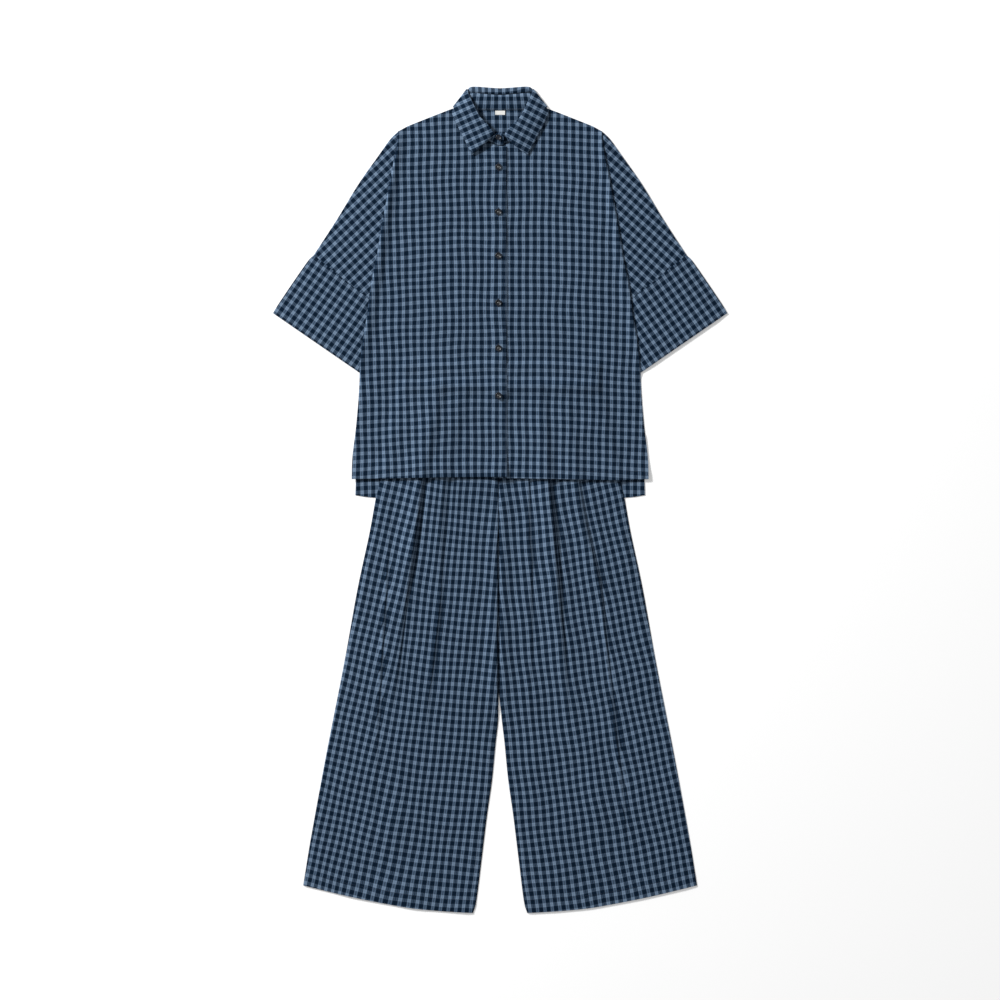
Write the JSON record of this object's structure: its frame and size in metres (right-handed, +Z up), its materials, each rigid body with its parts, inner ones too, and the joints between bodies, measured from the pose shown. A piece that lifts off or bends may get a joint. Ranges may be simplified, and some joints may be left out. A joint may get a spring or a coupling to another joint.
{
  "type": "blouse and trousers set",
  "caption": "Button-front blouse with a turned-down collar and wide elbow-length sleeves, laid flat over wide-leg trousers with an elastic waist, in gingham cotton.",
  "frame": {"origin": "on the floor under the middle of the set's outline", "axes": "+Y towards the collar, +X towards the wearer's left, +Z up from the floor"},
  "size_m": [0.8522, 1.5496, 0.0101],
  "materials": {
    "gingham": "matt woven cotton",
    "button": "satin",
    "label": "matt woven tape"
  },
  "bodies": {
    "root": {"blouse_back": "gingham", "blouse_front_right": "gingham", "blouse_front_left": "gingham", "sleeve_right": "gingham", "sleeve_left": "gingham", "sleeve_band_right": "gingham", "sleeve_band_left": "gingham", "collar_stand": "gingham", "collar_leaf": "gingham", "trouser_front_right": "gingham", "trouser_front_left": "gingham", "trouser_back_right": "gingham", "trouser_back_left": "gingham", "waistband": "gingham", "button_collar": "button", "button_1": "button", "button_2": "button", "button_3": "button", "button_4": "button", "button_5": "button", "button_6": "button", "label": "label"}
  },
  "joints": []
}
